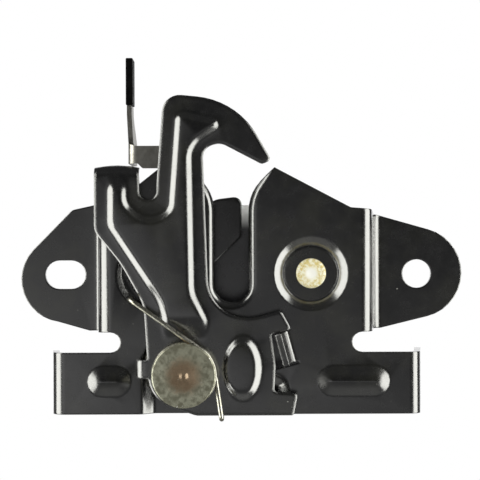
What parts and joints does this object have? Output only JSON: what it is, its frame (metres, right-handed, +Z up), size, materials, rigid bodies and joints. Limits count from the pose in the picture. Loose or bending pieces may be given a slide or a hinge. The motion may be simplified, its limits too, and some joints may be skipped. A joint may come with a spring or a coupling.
{
  "type": "bonnet latch",
  "caption": "Front-mounted bonnet latch: pressed base plate with a flared striker slot, safety hook with handle, spring-loaded catch and release lever.",
  "frame": {"origin": "In the mounting plane of the two ears, on the centre line of the striker slot, at the height of the ear holes", "axes": "+X to the right and +Z up as the latch is seen from the front, +Y into the crossmember that the ears are bolted to"},
  "size_m": [0.1423, 0.0331, 0.1123],
  "materials": {
    "black_coat": "glossy black e-coat",
    "black_plastic": "matt black sleeve",
    "zinc": "dull zinc plate",
    "yellow_zinc": "yellow passivated zinc",
    "bare_steel": "plain zinc-coated sheet",
    "spring_steel": "drawn wire",
    "bush_bronze": "plain bearing bronze"
  },
  "bodies": {
    "plate": {"base_plate": "black_coat", "rear_plate": "black_coat", "pivot_rivet": "zinc", "lever_rivet": "yellow_zinc", "hook_washer": "zinc", "catch_washer": "zinc", "pivot_spacer": "zinc", "lever_washer": "zinc", "lever_spacer": "zinc", "hook_spring": "spring_steel", "catch_spring": "spring_steel", "lever_spring": "spring_steel"},
    "hook": {"safety_hook": "black_coat", "hook_handle": "bare_steel", "handle_grip": "black_plastic", "hook_bush": "bush_bronze"},
    "catch": {"main_catch": "black_coat", "catch_bush": "bush_bronze"},
    "lever": {"release_lever": "zinc", "lever_bush": "bush_bronze"}
  },
  "joints": [
    {"name": "hook_pivot", "type": "hinge", "parent": "plate", "child": "hook", "pos_m": [-0.0145, 0, -0.0299], "axis": [0, -1, 0], "range_deg": [0, 14], "stiffness_Nm_per_rad": 0.15, "springref_deg": -28.65, "deforming": ["hook_spring"]},
    {"name": "catch_pivot", "type": "hinge", "parent": "plate", "child": "catch", "pos_m": [-0.0145, 0, -0.0299], "axis": [0, -1, 0], "range_deg": [0, 12], "stiffness_Nm_per_rad": 0.2, "springref_deg": -28.65, "deforming": ["catch_spring"]},
    {"name": "lever_pivot", "type": "hinge", "parent": "plate", "child": "lever", "pos_m": [0.0247, 0, 0.0006], "axis": [0, 1, 0], "range_deg": [0, 11.5], "stiffness_Nm_per_rad": 0.05, "springref_deg": -28.65, "deforming": ["lever_spring"]}
  ],
  "couplings": [
    {"joint": "lever_pivot", "follows": "catch_pivot", "ratio": 0.95}
  ]
}
